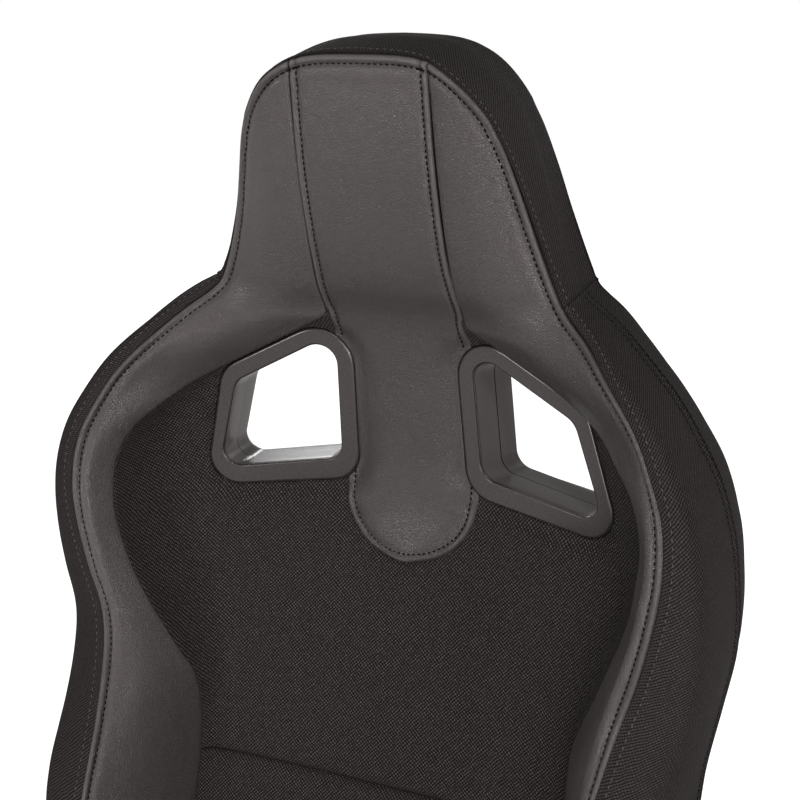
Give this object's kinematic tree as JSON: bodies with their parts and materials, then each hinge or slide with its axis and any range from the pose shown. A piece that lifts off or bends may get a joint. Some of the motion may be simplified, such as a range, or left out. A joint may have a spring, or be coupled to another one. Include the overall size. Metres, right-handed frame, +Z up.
{
  "type": "reclining racing seat",
  "caption": "Reclining sports seat with a tall bolstered backrest, built-in headrest and framed harness slots, on slide rails.",
  "frame": {"origin": "centre of the four floor bolt holes, on the underside of the slide rails", "axes": "+Z up, the seat faces -Y, +X is the right-hand side seen from the front"},
  "size_m": [0.556, 0.7231, 0.997],
  "materials": {
    "centre_fabric": "coarse woven black fabric",
    "side_fabric": "basket woven black fabric",
    "leather": "dark grey grained leatherette",
    "gloss_black_plastic": "satin black moulding",
    "shell_plastic": "fine textured black moulding",
    "lever_plastic": "textured black grip",
    "plated_steel": "zinc plated",
    "rail_steel": "zinc plated, oiled",
    "cage_plastic": "natural polymer cage with steel balls",
    "spring_wire": "bare spring wire",
    "black_steel": "black powder coat"
  },
  "bodies": {
    "rails": {"lower_rail_left": "rail_steel", "lower_rail_right": "rail_steel", "lock_comb_left": "rail_steel", "lock_comb_right": "rail_steel"},
    "cages": {"ball_cage_left": "cage_plastic", "ball_cage_right": "cage_plastic"},
    "release": {"release_bar": "black_steel"},
    "recline_release": {"sync_shaft": "plated_steel", "recline_lever_left": "lever_plastic", "recline_lever_right": "lever_plastic"},
    "backrest": {"back_plate_left": "black_steel", "back_plate_right": "black_steel", "hoop_tube": "black_steel", "lumbar_bars": "black_steel", "lumbar_wires": "spring_wire", "shell_clips": "shell_plastic", "back_insert": "centre_fabric", "back_bolster_left": "leather", "back_bolster_right": "leather", "headrest_pad": "leather", "back_tongue": "leather", "back_gusset_left": "side_fabric", "back_gusset_right": "side_fabric", "headrest_gusset": "side_fabric", "rear_shell": "shell_plastic", "slot_bezel_left": "gloss_black_plastic", "slot_bezel_right": "gloss_black_plastic", "slot_tunnel_left": "gloss_black_plastic", "slot_tunnel_right": "gloss_black_plastic"},
    "carriage": {"upper_rail_left": "rail_steel", "upper_rail_right": "rail_steel", "side_frame_left": "black_steel", "side_frame_right": "black_steel", "front_tube": "black_steel", "rear_tube": "black_steel", "seat_pan": "black_steel", "frame_bolts": "plated_steel", "recliner_hub_left": "plated_steel", "recliner_hub_right": "plated_steel", "side_trim_left": "shell_plastic", "side_trim_right": "shell_plastic", "cushion_insert": "centre_fabric", "cushion_bolster_left": "leather", "cushion_bolster_right": "leather", "cushion_gusset_left": "side_fabric", "cushion_gusset_right": "side_fabric", "cushion_nose": "leather"}
  },
  "joints": [
    {"name": "seat_slide", "type": "slide", "parent": "rails", "child": "carriage", "axis": [0, -1, 0], "range_m": [-0.1, 0.1]},
    {"name": "cage_slide", "type": "slide", "parent": "rails", "child": "cages", "axis": [0, -1, 0], "range_m": [-0.05, 0.05]},
    {"name": "slide_release", "type": "hinge", "parent": "carriage", "child": "release", "pos_m": [0, -0.06, 0.066], "axis": [-1, 0, 0], "range_deg": [0, 8], "stiffness_Nm_per_rad": 10, "springref_deg": -17.19},
    {"name": "backrest_recline", "type": "hinge", "parent": "carriage", "child": "backrest", "pos_m": [0, 0.232, 0.205], "axis": [-1, 0, 0], "range_deg": [-8, 50]},
    {"name": "recline_lift", "type": "hinge", "parent": "carriage", "child": "recline_release", "pos_m": [0, 0.232, 0.205], "axis": [-1, 0, 0], "range_deg": [0, 22], "stiffness_Nm_per_rad": 8, "springref_deg": -17.19}
  ],
  "couplings": [
    {"joint": "cage_slide", "follows": "seat_slide", "ratio": 0.5}
  ]
}
